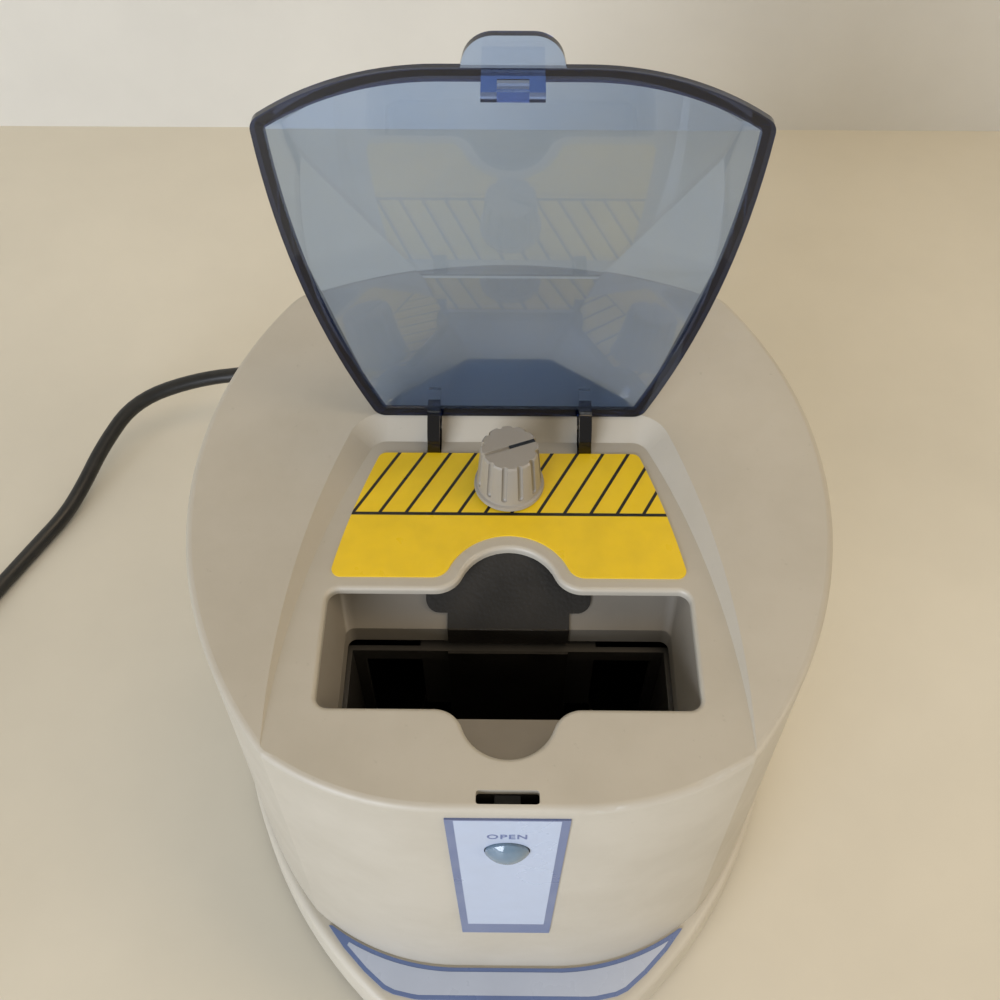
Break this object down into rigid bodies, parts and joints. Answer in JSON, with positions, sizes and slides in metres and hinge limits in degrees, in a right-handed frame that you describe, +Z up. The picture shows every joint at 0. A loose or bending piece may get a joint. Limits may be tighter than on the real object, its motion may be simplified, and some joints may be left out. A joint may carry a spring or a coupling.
{
  "type": "microplate centrifuge",
  "caption": "Benchtop microplate centrifuge: tapered shell on a base ledge, hinged tinted lid, slotted deck over a two-pocket rotor, fluted hand knob, front release button, mains cord.",
  "frame": {"origin": "on the bench under the rotor's axis, which is the middle of the instrument's footprint", "axes": "+Z up along the rotor's axis, -Y towards the front with the release button, +X to the right as seen from the front"},
  "size_m": [0.459, 0.3493, 0.2944],
  "materials": {
    "housing_plastic": "satin moulded plastic, fine even grain, warm grey",
    "base_plastic": "satin moulded plastic, pale warm grey",
    "well_plastic": "satin moulded plastic",
    "knob_plastic": "smooth moulded plastic, slight sheen",
    "mark_paint": "black filled line",
    "lid_plastic": "clear blue-tinted plastic, polished",
    "button_plastic": "polished grey-green plastic",
    "latch_plastic": "plain moulded plastic",
    "label_film": "printed film, satin",
    "hazard_film": "yellow printed film, gloss",
    "guard_film": "dark pebbled sheet",
    "rotor_plastic": "plain moulded plastic, dark",
    "bowl_plastic": "plain moulded plastic, dark grey",
    "shaft_steel": "ground steel",
    "spring_steel": "drawn wire",
    "screw_steel": "zinc plated",
    "mount_steel": "plated sheet",
    "motor_steel": "drawn steel can",
    "bushing_brass": "turned",
    "board_laminate": "printed circuit board",
    "foot_rubber": "moulded rubber",
    "isolator_rubber": "moulded rubber",
    "cord_rubber": "smooth round cable jacket",
    "plug_plastic": "moulded on the cable",
    "blade_metal": "plated blades"
  },
  "bodies": {
    "housing_body": {"base_pan": "base_plastic", "base_screw_1": "screw_steel", "base_screw_2": "screw_steel", "base_screw_3": "screw_steel", "base_screw_4": "screw_steel", "bowl": "bowl_plastic", "circuit_board": "board_laminate", "cord_coil": "cord_rubber", "cord_tail": "cord_rubber", "crescent_plate": "label_film", "deck_bushing": "bushing_brass", "foot_1": "foot_rubber", "foot_2": "foot_rubber", "foot_3": "foot_rubber", "foot_4": "foot_rubber", "front_label_plate": "label_film", "guard_leaf": "guard_film", "hazard_plate": "hazard_film", "hinge_pin_left": "shaft_steel", "hinge_pin_right": "shaft_steel", "isolator_1": "isolator_rubber", "isolator_2": "isolator_rubber", "isolator_3": "isolator_rubber", "isolator_4": "isolator_rubber", "latch_bracket": "mount_steel", "latch_spring": "spring_steel", "motor": "motor_steel", "motor_mount": "mount_steel", "plug": "plug_plastic", "plug_blade_left": "blade_metal", "plug_blade_right": "blade_metal", "plug_ground_pin": "blade_metal", "power_cord": "cord_rubber", "slot_funnel": "well_plastic", "strain_relief": "cord_rubber", "upper_housing": "housing_plastic"},
    "lid_body": {"lid": "lid_plastic"},
    "rotor_body": {"rotor_hub": "rotor_plastic", "pocket_front": "rotor_plastic", "pocket_rear": "rotor_plastic", "strap_front": "guard_film", "strap_rear": "guard_film", "rotor_shaft": "shaft_steel", "knob": "knob_plastic", "knob_pointer": "mark_paint"},
    "latch_body": {"open_button": "button_plastic", "latch_slide": "latch_plastic"}
  },
  "joints": [
    {"name": "lid_hinge", "type": "hinge", "parent": "housing_body", "child": "lid_body", "pos_m": [0, 0.0215, 0.1708], "axis": [1, 0, 0], "range_deg": [0, 92]},
    {"name": "rotor_spin", "type": "hinge", "parent": "housing_body", "child": "rotor_body", "pos_m": [0, 0, 0.1], "axis": [0, 0, 1], "continuous": true},
    {"name": "open_button_press", "type": "slide", "parent": "housing_body", "child": "latch_body", "axis": [0, 1, 0], "range_m": [0, 0.0026], "stiffness_N_per_m": 600, "springref_m": -0.002, "deforming": ["latch_spring"]}
  ]
}
